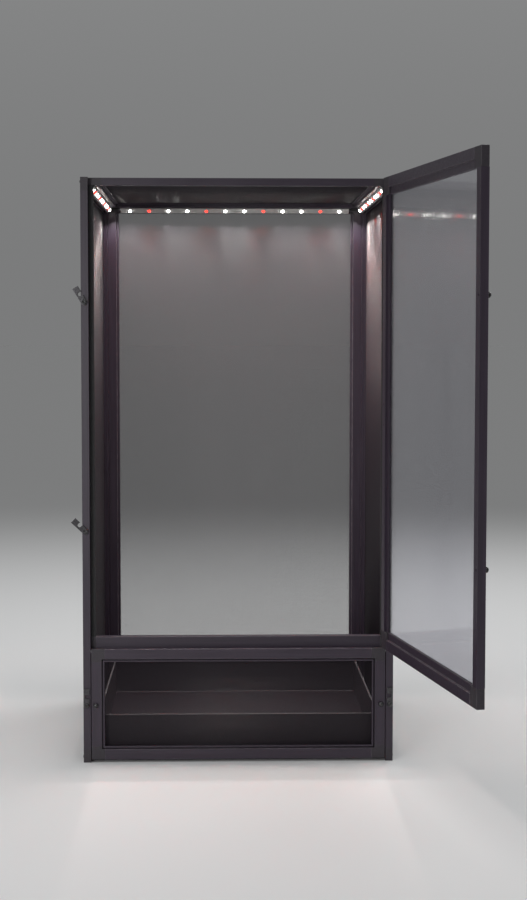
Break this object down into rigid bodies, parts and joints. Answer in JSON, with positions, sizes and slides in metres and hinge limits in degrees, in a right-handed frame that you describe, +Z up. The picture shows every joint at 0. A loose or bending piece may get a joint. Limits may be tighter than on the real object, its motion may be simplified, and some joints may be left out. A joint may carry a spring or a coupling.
{
  "type": "mesh reptile cage",
  "caption": "Tall square screen cage on a black tube frame with a hinged acrylic front door, a mesh flap over a slide-out tray, hook latches and corner lamp strips.",
  "frame": {"origin": "middle of the cage's footprint, on the ground", "axes": "+Z up, -Y out of the front where the door and the flap are, +X to the right seen from the front"},
  "size_m": [0.4838, 0.7939, 0.7783],
  "materials": {
    "frame_black": "satin black anodised tube",
    "key_black": "fine-grained black moulding",
    "mesh_black": "black woven screen",
    "sheet_black": "matt black sheet",
    "stop_black": "matt black strip",
    "acrylic": "clear polished sheet",
    "dome_black": "gloss black plating",
    "hinge_black": "satin black paint",
    "nickel": "dull nickel plate",
    "tray_black": "satin black moulding",
    "channel_black": "satin black anodised channel",
    "board_white": "white lacquered board",
    "lamp_white": "clear lens over a white lamp",
    "lamp_red": "red lens",
    "lead_black": "black flexible lead",
    "controller_black": "fine-grained black moulding",
    "switch_black": "smooth black moulding"
  },
  "bodies": {
    "cage": {"left_stiles": "frame_black", "left_rails": "frame_black", "left_corners": "key_black", "left_mesh": "mesh_black", "left_bead": "frame_black", "right_stiles": "frame_black", "right_rails": "frame_black", "right_corners": "key_black", "right_mesh": "mesh_black", "right_bead": "frame_black", "back_stiles": "frame_black", "back_rails": "frame_black", "back_corners": "key_black", "back_mesh": "mesh_black", "back_bead": "frame_black", "top_stiles": "frame_black", "top_rails": "frame_black", "top_corners": "key_black", "top_mesh": "mesh_black", "top_bead": "frame_black", "floor_bars": "frame_black", "floor_corners": "key_black", "floor_sheet": "sheet_black", "cross_rail": "frame_black", "rail_brackets": "key_black", "door_stops": "stop_black", "hinge_post_leaves": "hinge_black", "hinge_pins": "nickel", "flap_pins": "nickel", "latch_screws": "dome_black", "lamp_channels": "channel_black", "lamp_boards": "board_white", "white_lamps": "lamp_white", "red_lamps": "lamp_red", "strip_leads": "lead_black", "controller_body": "controller_black", "controller_cover": "controller_black", "power_inlet": "switch_black", "frame_screws": "dome_black"},
    "door": {"door_stiles": "frame_black", "door_rails": "frame_black", "door_corners": "key_black", "door_bead": "frame_black", "door_acrylic": "acrylic", "door_knobs": "dome_black", "hinge_door_leaves": "hinge_black", "hinge_door_screws": "dome_black"},
    "flap": {"flap_stiles": "frame_black", "flap_rails": "frame_black", "flap_corners": "key_black", "flap_mesh": "mesh_black", "flap_bead": "frame_black", "flap_knobs": "dome_black"},
    "tray": {"tray": "tray_black"},
    "upper_latch": {"upper_latch": "nickel"},
    "lower_latch": {"lower_latch": "nickel"},
    "flap_latch_left": {"flap_latch_left": "nickel"},
    "flap_latch_right": {"flap_latch_right": "nickel"},
    "mode_switch": {"mode_switch": "switch_black"}
  },
  "joints": [
    {"name": "door_hinge", "type": "hinge", "parent": "cage", "child": "door", "pos_m": [0.197, -0.2053, 0.457], "axis": [0, 0, 1], "range_deg": [-100, 71]},
    {"name": "flap_hinge", "type": "hinge", "parent": "cage", "child": "flap", "pos_m": [0, -0.19825, 0.146], "axis": [-1, 0, 0], "range_deg": [0, 90]},
    {"name": "tray_slide", "type": "slide", "parent": "cage", "child": "tray", "axis": [0, -1, 0], "range_m": [0, 0.14]},
    {"name": "upper_latch_turn", "type": "hinge", "parent": "cage", "child": "upper_latch", "pos_m": [-0.19825, -0.2043, 0.602], "axis": [0, -1, 0], "range_deg": [-121, 36]},
    {"name": "lower_latch_turn", "type": "hinge", "parent": "cage", "child": "lower_latch", "pos_m": [-0.19825, -0.2043, 0.305], "axis": [0, -1, 0], "range_deg": [-137, 20]},
    {"name": "flap_latch_left_turn", "type": "hinge", "parent": "cage", "child": "flap_latch_left", "pos_m": [-0.19825, -0.2043, 0.076], "axis": [0, -1, 0], "range_deg": [-90, 45]},
    {"name": "flap_latch_right_turn", "type": "hinge", "parent": "cage", "child": "flap_latch_right", "pos_m": [0.19825, -0.2043, 0.076], "axis": [0, 1, 0], "range_deg": [-90, 45]},
    {"name": "mode_slide", "type": "slide", "parent": "cage", "child": "mode_switch", "axis": [1, 0, 0], "range_m": [-0.005, 0.005]}
  ],
  "couplings": [
    {"joint": "tray_slide", "follows": "flap_hinge", "m_per_rad": 0.085}
  ]
}
